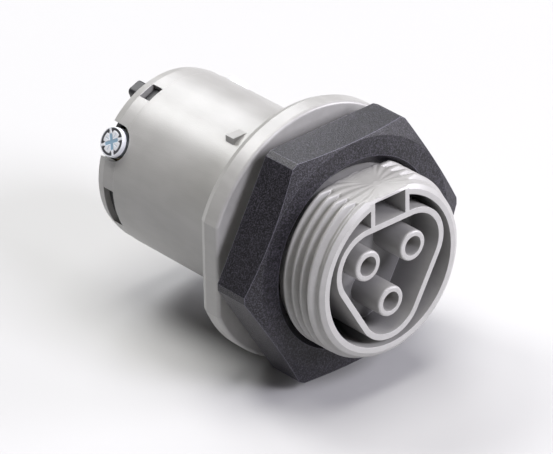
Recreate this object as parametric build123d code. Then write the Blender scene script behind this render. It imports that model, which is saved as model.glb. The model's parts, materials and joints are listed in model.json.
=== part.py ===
# Round panel socket of an industrial cable coupler, three poles.
#
# One grey moulding carries everything: a threaded nose with a rounded triangular
# collar and three contact tubes inside it, a seat flange and a rear barrel. A black
# terminal carrier and its clip-in rear cover fill the barrel. Each pole has a slotted
# contact, a spring sleeve, a brass clamp cage, a pressure plate and a terminal screw.
# The hexagonal locknut runs on the nose thread and clamps a panel against the flange.
#
# The axis of the socket is Y. The mating end looks along -Y, the wires come in at +Y,
# and the flange's panel face lies in y = 0. +Z is up: the side with the latch box.
from build123d import *
import math
import os

os.makedirs("parts", exist_ok=True)

# Threaded nose
thread_d = 25.0
thread_depth = 0.9
thread_pitch = 1.5
thread_crest_w = 0.24
thread_root_w = 0.33
thread_sink = 0.15
thread_start_y = -12.6
neck_step = 0.05
neck_len = 2.0
neck_wall = 2.2
nose_len = 14.4
nose_wall = 1.2
lead_len = 0.45
ring_gap_depth = 10.0
septum_wall = 1.8
top_flat_drop = 1.25
top_crown_r = 40.0

# Collar, contact tubes and latch box
pole_angles = (150.0, 30.0, 270.0)
pole_names = ("line", "neutral", "earth")
pole_pitch_r = 4.4
collar_room = 0.7
collar_wall = 0.8
socket_depth = 5.2
floor_wall = 1.5
tube_d = 4.2
tube_mouth_d = 2.7
tube_mouth_len = 2.9
tube_edge = 0.25
boss_wall = 0.6
boss_len = 2.7
latch_w = 5.14
latch_rib = 0.68
latch_roof_wall = 0.45

# Seat flange
flange_d = 35.2
flange_t = 3.3
flange_rim = 2.4
flange_draft = 0.4
flange_flats = 32.7
flange_edge_r = 0.45

# Rear barrel
barrel_d = 24.26
barrel_len = 28.9
barrel_wall = 1.6
bore_step_y = 1.0
rear_band_len = 3.3
rear_band_step = 0.08
rear_lead_len = 1.2
rear_lead_step = 0.25
window_rear_wall = 1.3
window_len = 1.95
window_angle = 111.0
window_w = 2.5
slot_angles = (195.0, 345.0)
slot_span = 28.0
screw_setback = 2.1
notch_w = 4.9

# Guide rib on the barrel behind the flange
rib_angle = 107.0
rib_y = 8.2
rib_len = 4.4
rib_slant = 33.0
rib_w = 1.1
rib_height = 1.15

# Locknut
nut_flats = 32.0
nut_len = 5.8
nut_gap = 2.1
nut_turn = 0.9
nut_corner_d = 36.4
nut_chamfer_d = 31.8
nut_chamfer_deg = 17.0
nut_mouth_room = 0.7
nut_rear_edge = 0.5
thread_clearance = 0.08
thread_end_room = 0.25

# Contacts
contact_d = 3.0
contact_bore_d = 2.3
contact_bore_len = 7.2
contact_slit = 0.35
contact_slit_len = 6.6
contact_room = 0.08
tongue_w = 2.4
tongue_t = 0.8
spring_wall = 0.25
spring_len = 3.4
spring_gap = 0.7
spring_room = 0.1

# Clamp cages, screws and pressure plates
cage_inner_r = 2.2
cage_outer_r = 9.3
cage_w = 5.0
cage_len = 6.0
cage_rear_gap = 0.3
cage_wall = 0.8
cage_roof = 1.6
cage_room = 0.08
screw_d = 2.5
screw_room = 0.05
screw_travel = 1.9
head_d = 4.0
head_h = 1.3
head_proud = 0.62
head_edge = 0.2
recess_len = 2.5
recess_w = 0.62
recess_depth = 0.8
plate_t = 0.6
plate_room = 0.1

# Terminal carrier and rear cover
carrier_room = 0.08
disc_t = 2.0
web_t = 1.0
chamber_front_wall = 1.3
cover_gap = 0.05
cover_t = 0.75
wire_hole_d = 3.1
wire_funnel_d = 4.3
arm_t = 1.1
arm_len = 3.6
arm_room = 0.15
head_room = 0.15
hook_reach = 0.85
hook_room = 0.2
tab_angle = 110.5
tab_w = 2.4
tab_height = 1.2
tab_reach = 11.6
tab_corner_r = 0.6
arm_set_in = 0.05

# Stations and radii that follow from the sizes above
crest_r = thread_d / 2
root_r = crest_r - thread_depth
neck_r = crest_r - neck_step
nose_bore_r = root_r - nose_wall
collar_corner_r = nose_bore_r - pole_pitch_r - collar_room
top_flat_height = crest_r - top_flat_drop
latch_roof_height = top_flat_height - latch_roof_wall
nut_mouth_r = crest_r + nut_mouth_room
tube_r = tube_d / 2
barrel_r = barrel_d / 2
bore_r = barrel_r - barrel_wall
neck_bore_r = neck_r - neck_wall
nose_front = -nose_len
thread_end = nut_mouth_room - thread_end_room - nut_gap - nut_len
gap_floor = nose_front + ring_gap_depth
bore_front = gap_floor + septum_wall
socket_floor = nose_front + socket_depth
pocket_front = socket_floor + floor_wall
boss_rear = pocket_front + boss_len
screw_y = barrel_len - screw_setback
window_rear = barrel_len - window_rear_wall
window_front = window_rear - window_len
contact_r = contact_d / 2
mouth_rear = nose_front + tube_mouth_len
contact_front = mouth_rear + contact_room
tube_bore_r = contact_r + contact_room
spring_r = contact_r + spring_wall
spring_bore_r = spring_r + spring_room
boss_r = spring_bore_r + boss_wall
spring_front = socket_floor + spring_room
cage_rear = barrel_len - cage_rear_gap
cage_front = cage_rear - cage_len
cage_floor_r = cage_inner_r + cage_wall
cage_ceiling_r = cage_outer_r - cage_roof
head_top_r = barrel_r + head_proud
head_seat_r = head_top_r - head_h
plate_top_r = cage_ceiling_r - plate_room
carrier_r = bore_r - carrier_room
carrier_nose_r = neck_bore_r - carrier_room
cover_front = cage_rear + cover_gap
wire_r = (cage_floor_r + tongue_t + plate_top_r - plate_t) / 2


def rod(radius, y0, y1, x=0.0, z=0.0):
    """A cylinder along the axis between two stations."""
    return Pos(x, (y0 + y1) / 2, z) * Rot(90, 0, 0) * Cylinder(radius, y1 - y0)


def radial_rod(radius, r0, r1, y):
    """A cylinder that points away from the axis, drawn towards +X."""
    return Pos((r0 + r1) / 2, y, 0) * Rot(0, 90, 0) * Cylinder(radius, r1 - r0)


def bar(r0, r1, y0, y1, width):
    """A block drawn towards +X between two radii and two stations."""
    return Pos((r0 + r1) / 2, (y0 + y1) / 2, 0) * Box(r1 - r0, y1 - y0, width)


def turned(*points):
    """A solid turned about the axis from corners given as radius and station."""
    return revolve(make_face(Polyline(*points, close=True)), Axis.Y, 360)


def arc_block(r0, r1, y0, y1, middle, span):
    """A piece of ring around the axis, centred on an angle."""
    section = Pos((r0 + r1) / 2, (y0 + y1) / 2) * Rectangle(r1 - r0, y1 - y0)
    return turn_to(revolve(section, Axis.Y, span), middle + span / 2)


def turn_to(shape, angle):
    """Swings a shape from +X to an angle measured towards +Z."""
    return shape.rotate(Axis.Y, -angle)


def plate(sketch, y0, y1):
    """A sketch seen from the front, made solid between two stations."""
    seen_from_front = Plane((0, y1, 0), x_dir=(1, 0, 0), z_dir=(0, -1, 0))
    return extrude(seen_from_front * sketch, amount=y1 - y0)


def at_poles(shape):
    """Copies of one shape, one at each pole."""
    return [turn_to(shape, angle) for angle in pole_angles]


def rounded_triangle(corner_r):
    """The outline round the three poles, with a corner arc about each of them."""
    points = [
        (pole_pitch_r * math.cos(math.radians(a)), pole_pitch_r * math.sin(math.radians(a)))
        for a in sorted(pole_angles)
    ]
    return offset(Polygon(*points, align=None), amount=corner_r, kind=Kind.ARC)


def outer_skin():
    """Nose, flange and barrel as one turned solid, with the flange's two flats."""
    flange_r = flange_d / 2
    band_y = barrel_len - rear_band_len
    lead_y = barrel_len - rear_lead_len
    band_r = barrel_r - rear_band_step
    skin = turned(
        (0, nose_front),
        (root_r - lead_len, nose_front),
        (root_r, nose_front + lead_len),
        (root_r, -neck_len),
        (neck_r, -neck_len),
        (neck_r, 0),
        (flange_r, 0),
        (flange_r, flange_rim),
        (flange_r - flange_draft, flange_t),
        (barrel_r, flange_t),
        (barrel_r, band_y),
        (band_r, band_y),
        (band_r, lead_y),
        (band_r - rear_lead_step, barrel_len),
        (0, barrel_len),
    )
    flat_x = flange_flats / 2
    far = flange_r + 1
    off_cut = make_face(
        Polyline(
            (flat_x, -0.01),
            (flat_x, flange_rim),
            (flat_x - flange_draft, flange_t),
            (flat_x - flange_draft, flange_t + 0.01),
            (far, flange_t + 0.01),
            (far, -0.01),
            close=True,
        )
    )
    off_cut = extrude(off_cut, amount=flange_r, both=True)
    skin = skin - off_cut - off_cut.mirror(Plane.YZ)
    rim = [
        e
        for e in skin.edges()
        if abs(e.bounding_box().max.Y) < 0.001
        and abs(e.bounding_box().min.Y) < 0.001
        and (e @ 0.5).length > neck_r + 1
    ]
    return fillet(rim, flange_edge_r)


def crowned_flat():
    """What is taken off the top of the nose, leaving a slightly crowned flat."""
    above = Pos(0, nose_front / 2, thread_d / 2) * Box(thread_d, nose_len, thread_d / 2)
    crown = rod(top_crown_r, nose_front - 1, 1, z=top_flat_height - top_crown_r)
    return above - crown


def nose_thread():
    """The thread's ridge ahead of the nut, right-handed, cut to a chamfered start."""
    turns_front = thread_start_y - 2 * thread_pitch
    turns_rear = thread_end + 2 * thread_pitch
    path = Helix(thread_pitch, turns_rear - turns_front, root_r, direction=(0, 1, 0))
    path = turn_to(Pos(0, turns_front, 0) * path, 180)
    start = path @ 0
    half_crest = thread_crest_w / 2
    half_base = (thread_pitch - thread_root_w) / 2
    spread = (half_base - half_crest) / thread_depth * thread_sink
    section = Polyline(
        (-thread_sink, -half_base - spread),
        (thread_depth, -half_crest),
        (thread_depth, half_crest),
        (-thread_sink, half_base + spread),
        close=True,
    )
    outward = Vector(start.X, 0, start.Z)
    section = Plane(start, x_dir=outward, z_dir=path % 0) * make_face(section)
    ridge = sweep(section, path=path, is_frenet=True)
    lead_r = root_r - lead_len
    room = turned(
        (lead_r - 1, nose_front),
        (lead_r, nose_front),
        (crest_r + 1, nose_front + (crest_r + 1 - lead_r)),
        (crest_r + 1, thread_end),
        (lead_r - 1, thread_end),
    )
    return (ridge & room) - crowned_flat()


def collar():
    """The collar with its floor and the two ribs of the latch box."""
    solid = plate(rounded_triangle(collar_corner_r), nose_front, gap_floor)
    solid -= plate(rounded_triangle(collar_corner_r - collar_wall), nose_front, socket_floor)
    collar_top = pole_pitch_r * math.sin(math.radians(min(pole_angles))) + collar_corner_r
    rib_low = collar_top - collar_wall / 2
    rib_high = latch_roof_height
    rib = Box(latch_rib, ring_gap_depth, rib_high - rib_low)
    rib_y = (nose_front + gap_floor) / 2
    for side in (-1, 1):
        rib_x = side * (latch_w + latch_rib) / 2
        solid += Pos(rib_x, rib_y, (rib_low + rib_high) / 2) * rib
    return solid


def guide_rib():
    """A short slanting rib on the barrel, close behind the flange."""
    band = rod(barrel_r + rib_height, 0, barrel_len) - rod(barrel_r - barrel_wall / 2, 0, barrel_len)
    strip = Box(barrel_r, rib_w, rib_len)
    strip = fillet(strip.edges().filter_by(Axis.X), rib_w / 3)
    strip = Pos(barrel_r, rib_y, 0) * Rot(-rib_slant, 0, 0) * strip
    return turn_to(strip, rib_angle) & band


def housing():
    """The grey moulding: nose, collar, tubes, flange and barrel in one piece."""
    body = outer_skin() - crowned_flat() + nose_thread()
    body -= rod(nose_bore_r, nose_front - 1, gap_floor)
    latch = Pos(0, nose_front + ring_gap_depth / 2, latch_roof_height / 2)
    body -= latch * Box(latch_w, ring_gap_depth, latch_roof_height)
    body += collar()
    tube = turned(
        (0, nose_front),
        (tube_r - tube_edge, nose_front),
        (tube_r - 0.3 * tube_edge, nose_front + 0.3 * tube_edge),
        (tube_r, nose_front + tube_edge),
        (tube_r, socket_floor),
        (0, socket_floor),
    )
    body += at_poles(Pos(pole_pitch_r, 0, 0) * tube)
    body -= rod(neck_bore_r, bore_front, bore_step_y)
    body -= rod(bore_r, bore_step_y, barrel_len + 1)
    body -= plate(rounded_triangle(collar_corner_r - collar_wall), pocket_front, bore_front)
    body += at_poles(rod(boss_r, socket_floor, boss_rear, x=pole_pitch_r))
    mouth = rod(tube_mouth_d / 2, nose_front - 1, mouth_rear, x=pole_pitch_r)
    bore = rod(tube_bore_r, mouth_rear, boss_rear, x=pole_pitch_r)
    spring_bore = rod(spring_bore_r, socket_floor, boss_rear, x=pole_pitch_r)
    body -= at_poles(mouth + bore + spring_bore)
    notch = radial_rod(notch_w / 2, bore_r - 2, barrel_r + 2, screw_y)
    notch += bar(bore_r - 2, barrel_r + 2, screw_y, barrel_len + 1, notch_w)
    body -= at_poles(notch)
    window_y = (window_front, window_rear)
    body -= turn_to(bar(bore_r - 1, barrel_r + 2, *window_y, window_w), window_angle)
    for angle in slot_angles:
        body -= arc_block(bore_r - 1, barrel_r + 2, *window_y, angle, slot_span)
    return body + guide_rib()


def locknut():
    """The hexagonal nut, with its turned front chamfer and trimmed corners."""
    rear = -nut_gap
    front = rear - nut_len
    corner_r = nut_corner_d / 2
    chamfer_r = nut_chamfer_d / 2
    drop = (corner_r - chamfer_r) * math.tan(math.radians(nut_chamfer_deg))
    hexagon = RegularPolygon(nut_flats / 2, 6, major_radius=False)
    blank = plate(hexagon, front, rear)
    turning = turned((0, front), (chamfer_r, front), (corner_r, front + drop), (corner_r, rear), (0, rear))
    bore_r_nut = root_r + thread_clearance
    bore = turned(
        (0, front - 1),
        (nut_mouth_r, front - 1),
        (nut_mouth_r, front),
        (bore_r_nut, front + nut_mouth_r - bore_r_nut),
        (bore_r_nut, rear - nut_rear_edge),
        (bore_r_nut + nut_rear_edge, rear),
        (bore_r_nut + nut_rear_edge, rear + 1),
        (0, rear + 1),
    )
    return turn_to((blank & turning) - bore, nut_turn)


def contact():
    """A slotted contact sleeve on a flat tongue that ends in the clamp cage."""
    sleeve = rod(contact_r, contact_front, bore_front, x=pole_pitch_r)
    sleeve -= rod(contact_bore_d / 2, contact_front, contact_front + contact_bore_len, x=pole_pitch_r)
    slit_y = contact_front + contact_slit_len / 2
    slit = Box(contact_d + 1, contact_slit_len, contact_slit)
    for turn in (0, 90):
        sleeve -= Pos(pole_pitch_r, slit_y, 0) * Rot(0, turn, 0) * slit
    tongue_front = contact_front + contact_bore_len + 0.5
    tongue_r = cage_floor_r + tongue_t
    return sleeve + bar(cage_floor_r, tongue_r, tongue_front, cage_rear, tongue_w)


def contact_spring():
    """A split steel sleeve that closes the contact's fingers."""
    y0 = spring_front
    y1 = spring_front + spring_len
    sleeve = rod(spring_r, y0, y1, x=pole_pitch_r) - rod(contact_r, y0, y1, x=pole_pitch_r)
    return sleeve - bar(pole_pitch_r, pole_pitch_r + spring_r + 1, y0, y1, spring_gap)


def clamp_cage():
    """A brass frame round the wire, the tongue and the pressure plate."""
    cage = bar(cage_inner_r, cage_outer_r, cage_front, cage_rear, cage_w)
    cage -= bar(cage_floor_r, cage_ceiling_r, cage_front, cage_rear, cage_w - 2 * cage_wall)
    return cage - radial_rod(screw_d / 2 + screw_room, cage_ceiling_r - 1, cage_outer_r + 1, screw_y)


def terminal_screw():
    """A cheese-head screw with a cross recess."""
    head = radial_rod(head_d / 2, head_seat_r, head_top_r, screw_y)
    rim = head.edges().filter_by(GeomType.CIRCLE).sort_by(Axis.X)[-1]
    head = chamfer(rim, head_edge)
    arm = Box(recess_depth, recess_len, recess_w)
    middle = Pos(head_top_r - recess_depth / 2, screw_y, 0)
    head -= middle * arm
    head -= middle * Rot(90, 0, 0) * arm
    return head + radial_rod(screw_d / 2, plate_top_r, head_seat_r, screw_y)


def pressure_plate():
    """The plate that the screw presses on the wire, with bent ends."""
    width = cage_w - 2 * cage_wall - 2 * plate_room
    y0 = cage_front + plate_room
    y1 = cage_rear - plate_room
    pad = bar(plate_top_r - plate_t, plate_top_r, y0, y1, width)
    return chamfer(pad.edges().filter_by(Axis.Z), plate_t / 3)


def carrier():
    """The black insert: a front disc in the neck, three dividing webs and the rear chambers."""
    disc = rod(carrier_nose_r, bore_front, bore_front + disc_t)
    chamber_front = cage_front - cage_room
    block = rod(carrier_r, chamber_front - chamber_front_wall, cage_rear)
    body = disc + block
    for angle in pole_angles:
        web = bar(0, pole_pitch_r, bore_front, cage_rear, web_t)
        web += bar(0, carrier_nose_r, bore_front, bore_step_y - carrier_room, web_t)
        web += bar(0, carrier_r, bore_step_y + carrier_room, cage_rear, web_t)
        body += turn_to(web, angle + 180)
    room = 2 * cage_room
    chamber = bar(cage_inner_r - cage_room, carrier_r + 1, chamber_front, cage_rear + 1, cage_w + room)
    tongue_cut = bar(
        cage_floor_r - cage_room,
        cage_floor_r + tongue_t + cage_room,
        bore_front - 1,
        cage_rear,
        tongue_w + room,
    )
    body -= at_poles(chamber + tongue_cut)
    arm_front = cover_front - arm_len - arm_room
    for angle, span in arm_places():
        room_deg = math.degrees(2 * arm_room / carrier_r)
        inner = carrier_r - arm_t - 2 * arm_room
        body -= arc_block(inner, carrier_r + 1, arm_front, cage_rear + 1, angle, span + room_deg)
    return body


def arm_places():
    """Angle and span of each snap arm, a little narrower than its window."""
    side = math.degrees(2 * hook_room / barrel_r)
    places = [(window_angle, math.degrees(window_w / bore_r) - side)]
    places += [(angle, slot_span - side) for angle in slot_angles]
    return places


def rear_cover():
    """The black cover with wire funnels, three snap arms and its release tab."""
    rear = cover_front + cover_t
    body = rod(carrier_r, cover_front, rear)
    hole = rod(wire_hole_d / 2, cover_front - 1, rear + 1, x=wire_r)
    cone = Pos(wire_r, rear - cover_t / 2, 0) * Rot(90, 0, 0)
    cone = cone * Cone(wire_funnel_d / 2, wire_hole_d / 2, cover_t)
    head_space = radial_rod(
        head_d / 2 + head_room,
        head_seat_r - screw_travel - head_room,
        carrier_r + 1,
        screw_y,
    )
    body -= at_poles(hole + cone + head_space)
    arm_r = carrier_r - arm_set_in
    root_y = cover_front + cover_t / 2
    hook_y = (window_front + hook_room, window_rear - hook_room)
    for angle, span in arm_places():
        body += arc_block(carrier_r - arm_t, arm_r, cover_front - arm_len, root_y, angle, span)
        body += arc_block(carrier_r - arm_t / 2, carrier_r + hook_reach, *hook_y, angle, span)
    tab_front = barrel_len + cover_gap
    tab_low = carrier_r - arm_t
    tab = bar(tab_low, tab_reach, tab_front, rear + tab_height, tab_w)
    tab = fillet(tab.edges().filter_by(Axis.Y).group_by(Axis.X)[-1], tab_corner_r)
    tab = chamfer(tab.faces().sort_by(Axis.Y)[-1].edges(), tab_height / 6)
    return body + turn_to(tab, tab_angle)


def write(shape, name):
    export_step(shape, f"parts/{name}.step")


write(housing(), "housing")
write(locknut(), "locknut")
write(carrier(), "terminal_carrier")
write(rear_cover(), "rear_cover")
for pole, pole_angle in zip(pole_names, pole_angles):
    write(turn_to(contact(), pole_angle), f"contact_{pole}")
    write(turn_to(contact_spring(), pole_angle), f"contact_spring_{pole}")
    write(turn_to(clamp_cage(), pole_angle), f"clamp_cage_{pole}")
    write(turn_to(pressure_plate(), pole_angle), f"pressure_plate_{pole}")
    write(turn_to(terminal_screw(), pole_angle), f"terminal_screw_{pole}")
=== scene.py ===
"""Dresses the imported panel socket: thread, small mouldings, finishes, lights and camera.

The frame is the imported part's own, in metres. The mating end looks along -Y, the wires come
in at +Y, and +Z is the side with the latch box. Angles round the axis run from +X to +Z.
"""

import json
import math

import bpy
import numpy as np
from mathutils import Matrix, Vector


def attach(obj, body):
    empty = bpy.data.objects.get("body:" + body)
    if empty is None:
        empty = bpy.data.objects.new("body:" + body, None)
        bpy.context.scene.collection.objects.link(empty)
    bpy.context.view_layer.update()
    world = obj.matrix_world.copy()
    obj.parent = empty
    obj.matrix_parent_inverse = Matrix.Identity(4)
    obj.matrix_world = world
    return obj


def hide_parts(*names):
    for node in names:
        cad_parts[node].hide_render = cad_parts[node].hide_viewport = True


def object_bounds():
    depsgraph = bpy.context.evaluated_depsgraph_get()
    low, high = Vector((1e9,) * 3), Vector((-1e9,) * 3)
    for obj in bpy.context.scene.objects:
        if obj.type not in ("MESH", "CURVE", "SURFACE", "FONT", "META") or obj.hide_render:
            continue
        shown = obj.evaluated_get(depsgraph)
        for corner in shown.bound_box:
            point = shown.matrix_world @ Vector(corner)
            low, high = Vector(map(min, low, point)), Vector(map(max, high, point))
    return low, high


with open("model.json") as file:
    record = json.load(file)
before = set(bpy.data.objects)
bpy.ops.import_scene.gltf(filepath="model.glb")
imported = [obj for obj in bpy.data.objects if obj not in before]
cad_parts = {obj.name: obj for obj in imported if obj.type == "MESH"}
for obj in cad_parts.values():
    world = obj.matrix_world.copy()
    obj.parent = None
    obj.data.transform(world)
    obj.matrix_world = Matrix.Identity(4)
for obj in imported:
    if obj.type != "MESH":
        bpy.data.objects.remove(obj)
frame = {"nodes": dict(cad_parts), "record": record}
cad_box = [list(corner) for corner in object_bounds()]

MM = 0.001
BODY = "socket_body"

# Every size below is in millimetres, and every angle in degrees. Where a soft edge has two
# numbers, it begins at one and ends at the other.
POLES = {"line": 150.0, "neutral": 30.0, "earth": 270.0}

# The nose's thread, and how far the drawn skin lies outside the solid
NOSE_FRONT = -14.4
THREAD_R = 12.5
ROOT_R = 11.6
CORE_R = 11.3
PITCH = 1.5
FIRST_CREST = -12.7
THREAD_END = -7.45
SKIN = 0.02

# The nose's front: a chamfer, a plain ring, a groove and the cone that starts the thread
LEAD_R = 11.15
RING_R = 11.8
RING_Y = (-14.0, -13.9)
START_Y = -13.8
CONE_END = -12.67
CONE_END_R = 12.53

# The crowned flat on top of the nose, with the marks that the mould left on it
FLAT_TOP = 11.25
FLAT_CROWN_R = 40.0
FLAT_RISE = 0.3
FLAT_OVER_ROOT = 0.3
GATE = (0.6, -11.4)
GATE_RING_R = 0.55
GATE_RING_WIDTH = 0.10
GATE_RING_HEIGHT = 0.05
MARK_HEIGHT = 0.13
MARK_REACH = 5.2
MARK_BEND = 1.7
MARK_FADE = (0.5, 4.5)
MARK_SIDES = (111.6, 68.4)

# The barrel, the slanted rib that is taken off it and the level block in its place
BARREL_R = 12.13
RIB_ANGLES = (90, 125)
RIB_Y = (5.5, 11.5)
STANDS_OUT = 0.03
PATCH_ANGLES = (124, 91)
PATCH_Y = (5.6, 11.4)
PATCH_LIFT = 0.012
BLOCK = ((-5.48, -2.8), (9.1, 10.6), (10.2, 11.75))

# The terminal screws' faces
SCREW_Y = 26.8
HEAD_TOP = 12.75
HEAD_R = 2.0
CAP = 0.08
CAP_TURN = 34.5
SKIRT_END = -0.60
GROOVE_INNER = 1.5
GROOVE_INNER_SOFT = 0.06
GROOVE_OUTER = (1.80, 1.90)
GROOVE_STOP = (4, 8)
GROOVE_DEPTH = 0.06
TOOTH = 0.34
TOOTH_ANGLE = 14
TOOTH_WIDTH = 5
ARM_HALF_WIDTH = (0.20, 0.30)
ARM_END = (1.0, 1.25)
ARM_DEPTH = 0.04
ARM_SLOPE = 0.03
TICK_HALF_WIDTH = (0.03, 0.09)
TICK_START = (0.5, 0.6)
TICK_END = (1.2, 1.3)
TICK_DEPTH = 0.03

# The photograph's view
PHOTO_WIDTH_PX = 553
FOCAL_PX = 5010.12
SENSOR = 36.0

FLOOR_GAP = 0.1
FLOOR_HALF = 3000.0
FAR_AWAY = 99.0
TINY = 0.001


def merge(points, faces):
    """Makes points that coincide one. Gives the points left, the rows they had, and the faces on them."""
    key = np.round(points, 5) + 0.0
    _, rows, place = np.unique(key, axis=0, return_index=True, return_inverse=True)
    return points[rows], rows, place.reshape(-1)[faces]


def mesh_object(name, points, faces, body=BODY):
    """A smooth piece, riding on a body, from points in millimetres.

    A corner that a face repeats is dropped, and so is a face that has fewer than three left.
    """
    corners = [list(dict.fromkeys(face)) for face in faces]
    mesh = bpy.data.meshes.new(name)
    mesh.from_pydata((points * MM).tolist(), [], [face for face in corners if len(face) > 2])
    mesh.update()
    mesh.polygons.foreach_set("use_smooth", np.ones(len(mesh.polygons), bool))
    piece = bpy.data.objects.new(name, mesh)
    bpy.context.scene.collection.objects.link(piece)
    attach(piece, body)
    return piece


def grid_faces(rows, cols, wrap=False):
    """Quads of a grid of rows x cols points, with its last column joined to the first if wrap."""
    r = np.arange(rows - 1)[:, None]
    c = np.arange(cols if wrap else cols - 1)[None, :]
    n = (c + 1) % cols
    corners = [r * cols + c, (r + 1) * cols + c, (r + 1) * cols + n, r * cols + n]
    return np.stack(corners, -1).reshape(-1, 4)


def ramp(x, low, high):
    """Goes smoothly from 0 to 1 as x goes from low to high: 3 t^2 - 2 t^3."""
    t = np.clip((x - low) / (high - low), 0, 1)
    return t * t * (3 - 2 * t)


def thread_height(phase):
    """How far the thread stands out, 0 to 1, at a phase of one pitch: crest, flank, root, flank."""
    return np.interp(phase, [0.0, 0.09, 0.40, 0.60, 0.91, 1.0], [1.0, 1.0, 0.0, 0.0, 1.0, 1.0])


def crowned_flat_radius(theta):
    """Distance from the axis to the crowned flat: R with |(R cos t, R sin t - z0)| = crown radius."""
    z0 = FLAT_TOP - FLAT_CROWN_R
    s = np.sin(theta)
    return z0 * s + np.sqrt(np.maximum(FLAT_CROWN_R**2 - z0**2 * (1 - s**2), 0))


def flat_marks(x, y):
    """Low relief on the flat: the threads' faint ends, drawn in towards the gate mark, and its own ring.

    A thread that starts at height ys on the flat's edge lies at y = ys + (gate - ys) g,
    where g = (1 - gap / MARK_REACH)^MARK_BEND and gap is the distance from the gate along x.
    """
    gap = np.abs(x - GATE[0])
    g = np.clip(1 - gap / MARK_REACH, 0, 0.97) ** MARK_BEND
    source = (y - GATE[1] * g) / (1 - g)
    side = np.where(x < GATE[0], *np.radians(MARK_SIDES))
    phase = np.mod((source - FIRST_CREST) / PITCH + (side - math.pi) / (2 * math.pi), 1.0)
    fade = np.clip((gap - MARK_FADE[0]) / (MARK_FADE[1] - MARK_FADE[0]), 0, 1) ** 0.8
    near = np.hypot(x - GATE[0], y - GATE[1])
    ring = GATE_RING_HEIGHT * np.exp(-(((near - GATE_RING_R) / GATE_RING_WIDTH) ** 2))
    return MARK_HEIGHT * fade * thread_height(phase) + ring


def lead_radius(y):
    """The nose's front: a chamfer, a plain ring, a fine groove, then the cone that starts the thread."""
    places = [NOSE_FRONT, *RING_Y, START_Y, CONE_END]
    return np.interp(y, places, [LEAD_R, RING_R, RING_R, ROOT_R + SKIN, CONE_END_R])


def nose_thread():
    """The nose's thread: R(t, y) = min(root + depth * profile(w), lead, crowned flat),
    with w = (y - first crest) / pitch + (t - pi) / 2 pi, which is right-handed.

    Rows follow the helix, so crests are sharp, and a row's start meets the next pitch's end.
    Behind the last row the skin turns in to the core.
    """
    crest_and_flank = np.arange(0, 0.395, 0.0445)
    root = np.arange(0.40, 0.60, 0.05)
    flank_and_crest = np.arange(0.60, 0.99, 0.0516)
    marks = np.concatenate([crest_and_flank, root, flank_and_crest])
    theta = np.radians(np.linspace(0, 360, 361))
    low = math.floor((NOSE_FRONT - FIRST_CREST) / PITCH) - 2
    high = math.ceil((THREAD_END - FIRST_CREST) / PITCH) + 1
    along = (np.arange(low, high)[:, None] + marks[None, :]).ravel()
    w, t = np.meshgrid(along, theta, indexing="ij")
    y = FIRST_CREST + PITCH * (w - (t - math.pi) / (2 * math.pi))
    edge = np.clip(y, NOSE_FRONT, THREAD_END)

    # The flat is on the top side only, and no root is cut where it lies close over the root
    flat = np.where(np.sin(t) > 0.5, crowned_flat_radius(t), FAR_AWAY)
    rise = np.clip((edge - NOSE_FRONT) / FLAT_RISE, 0, 1)
    flat = flat + rise * (SKIN + flat_marks(flat * np.cos(t), edge))

    r = ROOT_R + SKIN + (THREAD_R - ROOT_R) * thread_height(np.mod(w, 1.0))
    r = np.minimum(r, flat)
    r = np.where(flat < ROOT_R + FLAT_OVER_ROOT, np.maximum(r, flat), r)
    lead = lead_radius(edge)
    r = np.where(edge < START_Y, lead, np.minimum(r, lead))
    r = np.minimum(r, flat)
    r = np.where(y > THREAD_END + TINY, CORE_R, r)

    points = np.stack([r * np.cos(t), edge, r * np.sin(t)], -1).reshape(-1, 3)
    faces = grid_faces(len(along), len(theta))
    reach = y.reshape(-1)[faces]
    used = (reach.max(1) > NOSE_FRONT - TINY) & (reach.min(1) < THREAD_END + PITCH / 8)
    points, _, faces = merge(points, faces[used])
    return mesh_object("nose_thread", points, faces.tolist())


def polar(u, v, turn):
    """Radius of a point, and its angle from the nearer of four arms turned by an angle, in degrees."""
    angle = np.degrees(np.arctan2(v, u)) - turn
    return np.hypot(u, v), np.mod(angle + 45, 90) - 45


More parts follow.
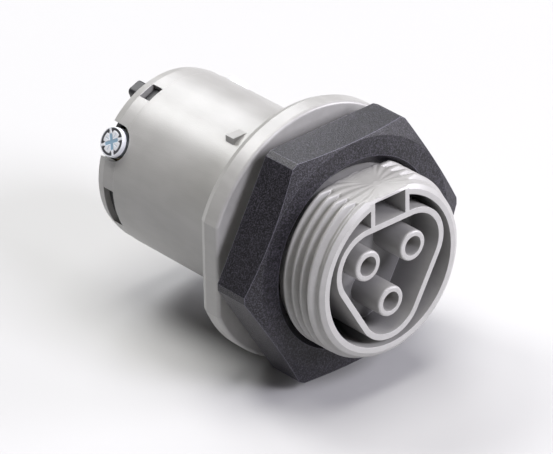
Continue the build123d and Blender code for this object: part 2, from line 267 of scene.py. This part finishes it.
def screw_cap(pole):
    """A screw's face: h(r, a) = cap - serrated groove - cross - ticks, on the pole's radius, over u
    (along the axis) and v (round it).

    The groove lies between two radii, has a tooth inwards beside each arm and stops at the arm.
    The cross is where the distance to an arm is under half its width. It fades out along the
    arm and slopes to its deepest point in the middle. A tick is a short line between two arms.
    The last four rings are the rounded rim and the skirt.
    """
    rim = HEAD_R + np.array([-0.05, -0.01, 0.005, 0.005])
    rim_height = np.array([CAP - 0.01, CAP - 0.04, CAP - 0.09, SKIRT_END])
    r = np.concatenate([np.linspace(0, HEAD_R - 0.12, 40), rim])
    a = np.linspace(0, 2 * math.pi, 180, endpoint=False)
    r, a = np.meshgrid(r, a, indexing="ij")
    u, v = r * np.cos(a), r * np.sin(a)
    reach, off = polar(u, v, CAP_TURN)
    off = np.abs(off)

    inner = GROOVE_INNER - TOOTH * np.exp(-(((off - TOOTH_ANGLE) / TOOTH_WIDTH) ** 2))
    groove = ramp(reach, inner - GROOVE_INNER_SOFT, inner + GROOVE_INNER_SOFT)
    groove = groove * (1 - ramp(reach, *GROOVE_OUTER)) * ramp(off, *GROOVE_STOP)
    to_arm = reach * np.sin(np.radians(off))
    arm = (1 - ramp(to_arm, *ARM_HALF_WIDTH)) * (1 - ramp(reach, *ARM_END))
    to_tick = reach * np.abs(np.sin(np.radians(45 - off)))
    tick = (1 - ramp(to_tick, *TICK_HALF_WIDTH)) * ramp(reach, *TICK_START)
    tick = tick * (1 - ramp(reach, *TICK_END))

    h = CAP - GROOVE_DEPTH * groove - TICK_DEPTH * tick
    h = h - arm * (ARM_DEPTH + ARM_SLOPE * (1 - reach / ARM_END[1]))
    h[-len(rim):] = rim_height[:, None]
    top = HEAD_TOP + h
    t = math.radians(POLES[pole])
    x = top * math.cos(t) - v * math.sin(t)
    z = top * math.sin(t) + v * math.cos(t)
    points = np.stack([x, SCREW_Y + u, z], -1).reshape(-1, 3)
    points, rows, faces = merge(points, grid_faces(*r.shape, wrap=True))
    piece = mesh_object(f"screw_cap_{pole}", points, faces.tolist(), body=f"screw_{pole}")
    # These masks place the painted shade in the groove and the recess.
    for key, values in (("groove", groove), ("recess", np.maximum(arm, tick * 0.6))):
        layer = piece.data.attributes.new(key, "FLOAT", "POINT")
        layer.data.foreach_set("value", values.ravel()[rows])
    piece.data.materials.append(looks["screw_face"])
    return piece


def node_triangles(name):
    """A solid's triangles: their corners in millimetres, and the normals there, each n x 3 x 3."""
    mesh = frame["nodes"][name].data
    points = np.empty(len(mesh.vertices) * 3)
    mesh.vertices.foreach_get("co", points)
    corners = np.empty(len(mesh.loops), int)
    mesh.loops.foreach_get("vertex_index", corners)
    normals = np.empty(len(mesh.loops) * 3)
    mesh.corner_normals.foreach_get("vector", normals)
    return points.reshape(-1, 3)[corners].reshape(-1, 3, 3) / MM, normals.reshape(-1, 3, 3)


def rib_or_thread(corners):
    """True for the triangles that stand out from the barrel where the rib is, and for the thread's.

    The thread's are those whose middle lies outside the root, and those that face outwards and
    have a corner outside it. The nose's front face and what lies behind the thread stay.
    """
    x, y, z = corners.mean(1).T
    middle = np.hypot(x, z)
    angle = np.degrees(np.arctan2(z, x))
    rib = (middle > BARREL_R + STANDS_OUT) & (angle > RIB_ANGLES[0]) & (angle < RIB_ANGLES[1])
    rib = rib & (y > RIB_Y[0]) & (y < RIB_Y[1])

    facing = np.cross(corners[:, 1] - corners[:, 0], corners[:, 2] - corners[:, 0])
    lean = facing[:, 0] * x + facing[:, 2] * z
    outward = (lean > 0.2 * np.linalg.norm(facing, axis=1) * middle) & (middle > LEAD_R)
    furthest = np.hypot(corners[:, :, 0], corners[:, :, 2]).max(1)
    outside = ROOT_R + STANDS_OUT
    thread = (middle > outside) | ((furthest > outside) & outward)
    thread = thread & (y > NOSE_FRONT + 0.02) & (y < THREAD_END + 0.01)
    return rib | thread


def dressed_housing():
    """The housing without its thread, and with a level block in place of its slanted guide rib.

    A patch of the barrel's cylinder, r = barrel + lift, closes the rib's place. The block is a box
    that is open towards the barrel. The solid's triangles keep the normals that they had.
    """
    corners, normals = node_triangles("housing")
    keep = ~rib_or_thread(corners)
    loose = corners[keep].reshape(-1, 3)
    body, _, shell = merge(loose, np.arange(len(loose)).reshape(-1, 3))

    angles, places = np.radians(np.linspace(*PATCH_ANGLES, 34)), np.linspace(*PATCH_Y, 3)
    t, along = np.meshgrid(angles, places, indexing="ij")
    r = BARREL_R + PATCH_LIFT
    patch = np.stack([r * np.cos(t), along, r * np.sin(t)], -1).reshape(-1, 3)
    patch_faces = grid_faces(*t.shape) + len(body)

    box = np.stack(np.meshgrid(*BLOCK, indexing="ij"), -1).reshape(-1, 3)
    box_faces = np.array([(0, 1, 3, 2), (4, 6, 7, 5), (0, 4, 5, 1), (2, 3, 7, 6), (1, 5, 7, 3)])
    box_faces = box_faces + len(body) + len(patch)

    points = np.concatenate([body, patch, box])
    faces = shell.tolist() + patch_faces.tolist() + box_faces.tolist()
    piece = mesh_object("housing_dressed", points, faces)
    mesh = piece.data
    mesh.polygons.foreach_set("use_smooth", np.arange(len(faces)) < len(faces) - len(box_faces))
    own = np.empty(len(mesh.loops) * 3)
    mesh.corner_normals.foreach_get("vector", own)
    own = own.reshape(-1, 3)
    own[:len(loose)] = normals[keep].reshape(-1, 3)
    mesh.normals_split_custom_set(own.tolist())
    mesh.materials.append(looks["grey_moulding"])
    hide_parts("housing")
    return piece


class Sock:
    """A node's output that can be used in arithmetic, each step making a Math node."""

    def __init__(self, look, out):
        self.look, self.out = look, out

    def __add__(self, other):
        return self.look.node("Math", {0: self, 1: other}, operation="ADD")

    def __mul__(self, other):
        return self.look.node("Math", {0: self, 1: other}, operation="MULTIPLY")

    __radd__ = __add__
    __rmul__ = __mul__

    def step(self, low, high, a=0.0, b=1.0):
        """Goes smoothly from a to b as this goes from low to high."""
        ins = {"Value": self, "From Min": low, "From Max": high, "To Min": a, "To Max": b}
        return self.look.node("MapRange", ins, interpolation_type="SMOOTHSTEP")


class Look:
    """A Principled material with its nodes, on Object coordinates in millimetres."""

    def __init__(self, name, **fixed):
        self.mat = bpy.data.materials.new(name)
        self.mat.use_nodes = True
        self.tree = self.mat.node_tree
        self.bsdf = next(n for n in self.tree.nodes if n.type == "BSDF_PRINCIPLED")
        for key, value in fixed.items():
            self.bsdf.inputs[key.replace("_", " ")].default_value = value
        here = self.node("TexCoord", out="Object")
        self.at = self.node("VectorMath", {0: here, 1: (1000, 1000, 1000)}, operation="MULTIPLY")

    def node(self, kind, ins=None, out=0, **props):
        """A node of a kind: its settings first, then the values or links of its sockets."""
        n = self.tree.nodes.new("ShaderNode" + kind)
        for key, value in props.items():
            setattr(n, key, value)
        for key, value in (ins or {}).items():
            if isinstance(value, Sock):
                self.tree.links.new(value.out, n.inputs[key])
            else:
                n.inputs[key].default_value = value
        return Sock(self, n.outputs[out])

    def noise(self, per_mm, detail=3.0, rough=0.5, stretch=(1, 1, 1)):
        """Soft noise, 0 to 1, by its cells per millimetre, drawn out along an axis where stretch is small."""
        at = self.at
        if stretch != (1, 1, 1):
            at = self.node("VectorMath", {0: at, 1: stretch}, operation="MULTIPLY")
        ins = {"Vector": at, "Scale": per_mm, "Detail": detail, "Roughness": rough}
        return self.node("TexNoise", ins)

    def mix(self, factor, a, b):
        """A colour that goes from a to b with the factor. Each is three numbers or a socket."""
        a, b = (value if isinstance(value, Sock) else (*value, 1.0) for value in (a, b))
        return self.node("Mix", {0: factor, 6: a, 7: b}, out=2, data_type="RGBA")

    def set(self, key, value):
        """Links a value to one of the shader's sockets."""
        self.tree.links.new(value.out, self.bsdf.inputs[key])

    def along(self, axis):
        """The place along X, Y or Z, in millimetres."""
        return self.node("SeparateXYZ", {0: self.at}, out=axis)

    def from_axis(self):
        """The distance from the part's own axis, in millimetres."""
        flat = self.node("VectorMath", {0: self.at, 1: (1, 0, 1)}, operation="MULTIPLY")
        return self.node("VectorMath", {0: flat}, out="Value", operation="LENGTH")

    def rounded(self, radius_mm):
        """The surface's normal with its edges rounded to a radius."""
        return self.node("Bevel", {"Radius": radius_mm * MM}, samples=4)

    def edge(self, radius_mm):
        """1 at an edge and 0 away from it: how far the rounded normal leans from the surface's own."""
        ins = {0: self.rounded(radius_mm), 1: self.node("NewGeometry", out="Normal")}
        lean = self.node("VectorMath", ins, out="Value", operation="DOT_PRODUCT")
        return lean.step(0.92, 0.997, 1.0, 0.0)

    def bump(self, height, distance_mm, strength, edge_mm=0.0):
        """Relief of a height, on the surface's own normal or on one with rounded edges."""
        ins = {"Height": height, "Distance": distance_mm * MM, "Strength": strength}
        if edge_mm:
            ins["Normal"] = self.rounded(edge_mm)
        self.set("Normal", self.node("Bump", ins))


def grey_moulding(name="grey_moulding", edge_mm=0.10):
    """Satin warm grey with paler, rounded-looking edges, where the paleness is a painted highlight, and
    painted shade down in the mouth, where it is also duller.

    The mouth is what lies inside the nose's bore and behind its front."""
    dark, light = (0.325, 0.32, 0.31), (0.37, 0.365, 0.355)
    # The second pair are colours of painted light: a dark grey for painted shade in the mouth, and a pale
    # grey for a painted highlight on edges.
    shade, painted_edge_highlight = (0.13, 0.128, 0.13), (0.75, 0.74, 0.75)
    look = Look(name, IOR=1.5, Specular_IOR_Level=0.8)
    cloud = look.noise(0.16, 2.0)
    flow = look.noise(0.9, 3.0, stretch=(1, 0.25, 1))
    fine = look.noise(7.0, 2.0)
    tone = cloud.step(0.3, 0.7) * 0.6 + flow.step(0.35, 0.65) * 0.4
    # Painted shade: the base colour is drawn towards the dark grey down in the mouth, and the same mask makes
    # it rougher there.
    depth = look.along(1).step(-14.3, -9.5) * look.from_axis().step(10.8, 11.3, 1.0, 0.0)
    depth = depth * look.along(1).step(-3.0, 0.0, 1.0, 0.0)
    shell = look.mix(depth * 0.8, look.mix(tone, dark, light), shade)
    if edge_mm:
        # Painted highlight: the edges are lightened towards the pale grey.
        shell = look.mix(look.edge(0.09) * 0.5, shell, painted_edge_highlight)
    look.set("Base Color", shell)
    look.set("Roughness", flow * 0.08 + fine * 0.08 + 0.29 + depth * 0.2)
    look.bump(fine * 0.6 + flow * 0.4, 0.035, 0.55, edge_mm=edge_mm)
    return look.mat


def nut_black():
    """Grained charcoal plastic with pale flecks, and paler edges that are a painted highlight."""
    # The third colour is a painted highlight for the edges.
    dark, pale, painted_edge_highlight = (0.003, 0.003, 0.004), (0.052, 0.048, 0.062), (0.30, 0.29, 0.36)
    look = Look("nut_black", IOR=1.48, Specular_IOR_Level=0.4)
    grain = look.noise(4.0, 4.0, 0.65)
    fleck = look.noise(5.5, 2.0, 0.6)
    patch = look.noise(0.35, 3.0)
    tone = grain.step(0.42, 0.66) * 0.4 + fleck.step(0.50, 0.60) * 0.75
    tone = tone * (0.7 + patch * 0.5)
    # The edges are lightened as a painted highlight.
    look.set("Base Color", look.mix(look.edge(0.16) * 0.55, look.mix(tone, dark, pale), painted_edge_highlight))
    look.set("Roughness", 0.32 + grain * 0.2)
    look.bump(grain * 0.5 + fleck * 0.5, 0.08, 0.85, edge_mm=0.16)
    return look.mat


def carrier_black():
    """Moulded black plastic."""
    look = Look("carrier_black", IOR=1.48)
    fine = look.noise(6.0, 3.0)
    cloud = look.noise(0.5, 2.0)
    look.set("Base Color", look.mix(cloud, (0.012, 0.012, 0.014), (0.028, 0.028, 0.031)))
    look.set("Roughness", 0.35 + fine * 0.2)
    look.bump(fine, 0.02, 0.4)
    return look.mat


def metal(name, low, high, rough, grain=3.0, stretch=(1, 6, 1)):
    """Bare metal between two colours, with drawn or plain grain."""
    look = Look(name, Metallic=1.0)
    line = look.noise(grain, 3.0, stretch=stretch)
    cloud = look.noise(0.8, 2.0)
    look.set("Base Color", look.mix(line * 0.6 + cloud * 0.4, low, high))
    look.set("Roughness", rough + line * 0.14)
    look.bump(line, 0.01, 0.3)
    return look.mat


def screw_face():
    """Bright zinc with painted shade in its groove, near black, and in its cross recess, a darker blue, where
    the face's own attributes place them.
    """
    look = Look("screw_face", Metallic=0.15)
    groove = look.node("Attribute", out=2, attribute_name="groove")
    recess = look.node("Attribute", out=2, attribute_name="recess")
    line = look.noise(5.0, 3.0)
    face = look.mix(line, (0.72, 0.74, 0.78), (0.84, 0.85, 0.88))
    # Painted shade in the recess, tinted blue.
    face = look.mix(recess * 0.85, face, (0.20, 0.36, 0.50))
    # Painted shade in the groove, near black.
    look.set("Base Color", look.mix(groove * 0.95, face, (0.03, 0.03, 0.035)))
    look.set("Roughness", line * 0.12 + 0.30)
    look.bump(line, 0.01, 0.3)
    return look.mat


looks = {
    "grey_moulding": grey_moulding(),
    "nut_black": nut_black(),
    "carrier_black": carrier_black(),
    "contact_brass": metal("contact_brass", (0.72, 0.52, 0.24), (0.85, 0.66, 0.36), 0.18),
    "spring_steel": metal("spring_steel", (0.5, 0.51, 0.53), (0.66, 0.67, 0.7), 0.2),
    "cage_brass": metal("cage_brass", (0.62, 0.47, 0.24), (0.76, 0.6, 0.34), 0.26),
    "plate_steel": metal("plate_steel", (0.52, 0.54, 0.57), (0.68, 0.7, 0.73), 0.25),
    "screw_face": screw_face(),
    "screw_zinc": metal("screw_zinc", (0.62, 0.68, 0.76), (0.8, 0.86, 0.93), 0.16, 4.0, (1, 1, 1)),
}

slots = {row["node"]: row["material_slot"] for row in frame["record"]["subparts"]}
for node, piece in frame["nodes"].items():
    piece.data.materials.clear()
    piece.data.materials.append(looks[slots[node]])

dressed_housing()
thread = nose_thread()
thread.data.materials.append(grey_moulding("thread_moulding", 0.0))
for pole_name in POLES:
    screw_cap(pole_name)


def floor():
    """A plain pale floor, a little under the part."""
    mesh = bpy.data.meshes.new("floor")
    half, z = FLOOR_HALF * MM, cad_box[0][2] - FLOOR_GAP * MM
    corners = [(-half, -half, z), (half, -half, z), (half, half, z), (-half, half, z)]
    mesh.from_pydata(corners, [], [(0, 1, 2, 3)])
    piece = bpy.data.objects.new("floor", mesh)
    bpy.context.scene.collection.objects.link(piece)
    look = Look("floor_white", Roughness=0.9)
    look.set("Base Color", look.mix(look.noise(0.01), (0.49, 0.49, 0.49), (0.51, 0.51, 0.51)))
    mesh.materials.append(look.mat)


def area(name, place, size, power, colour=(1, 1, 1)):
    """A round soft light, placed in metres and turned to the part's origin."""
    lamp = bpy.data.lights.new(name, "AREA")
    lamp.shape, lamp.size, lamp.energy, lamp.color = "DISK", size, power, colour
    piece = bpy.data.objects.new(name, lamp)
    piece.location = place
    piece.rotation_mode = "QUATERNION"
    piece.rotation_quaternion = (-Vector(place)).to_track_quat("-Z", "Y")
    bpy.context.scene.collection.objects.link(piece)


def camera():
    """The photograph's view, fitted on the nose, nut and barrel.

    turn is the object's own roll on its axis; distance, across and rise are in millimetres."""
    az, el, turn = math.radians(-41.55), math.radians(28.65), math.radians(1.3)
    distance, across, rise = 640.06, 4.829, -0.4155
    right = Vector((math.cos(az), math.sin(az), 0))
    back = Vector((math.sin(az) * math.cos(el), -math.cos(az) * math.cos(el), math.sin(el)))
    up = back.cross(right)
    place = (back * distance - right * across - up * rise) * MM
    spin = Matrix.Rotation(turn, 3, "Y")
    axes = Matrix([spin @ right, spin @ up, spin @ back]).transposed().to_4x4()
    data = bpy.data.cameras.new("camera")
    data.sensor_width = SENSOR
    data.lens = SENSOR * FOCAL_PX / PHOTO_WIDTH_PX
    data.clip_start, data.clip_end = 0.05, 20
    piece = bpy.data.objects.new("camera", data)
    piece.matrix_world = Matrix.Translation(spin @ place) @ axes
    bpy.context.scene.collection.objects.link(piece)
    bpy.context.scene.camera = piece


floor()
area("highlight", (0.30, 0.57, 0.56), 0.42, 2.8, (0.97, 0.98, 1.0))
area("top", (0, 0, 0.80), 0.55, 5.6, (1.0, 0.985, 0.965))
area("back", (-0.10, 0.50, 0.62), 0.30, 3.0)
area("right", (0.60, -0.52, 0.17), 0.30, 5.4, (0.96, 0.94, 1.0))
area("front", (0.10, -0.62, 0.48), 0.30, 5.0, (0.92, 0.90, 1.0))
world = bpy.data.worlds.new("studio")
world.use_nodes = True
world.node_tree.nodes["Background"].inputs["Strength"].default_value = 0.0
bpy.context.scene.world = world
bpy.context.scene.view_settings.view_transform = "Standard"
camera()
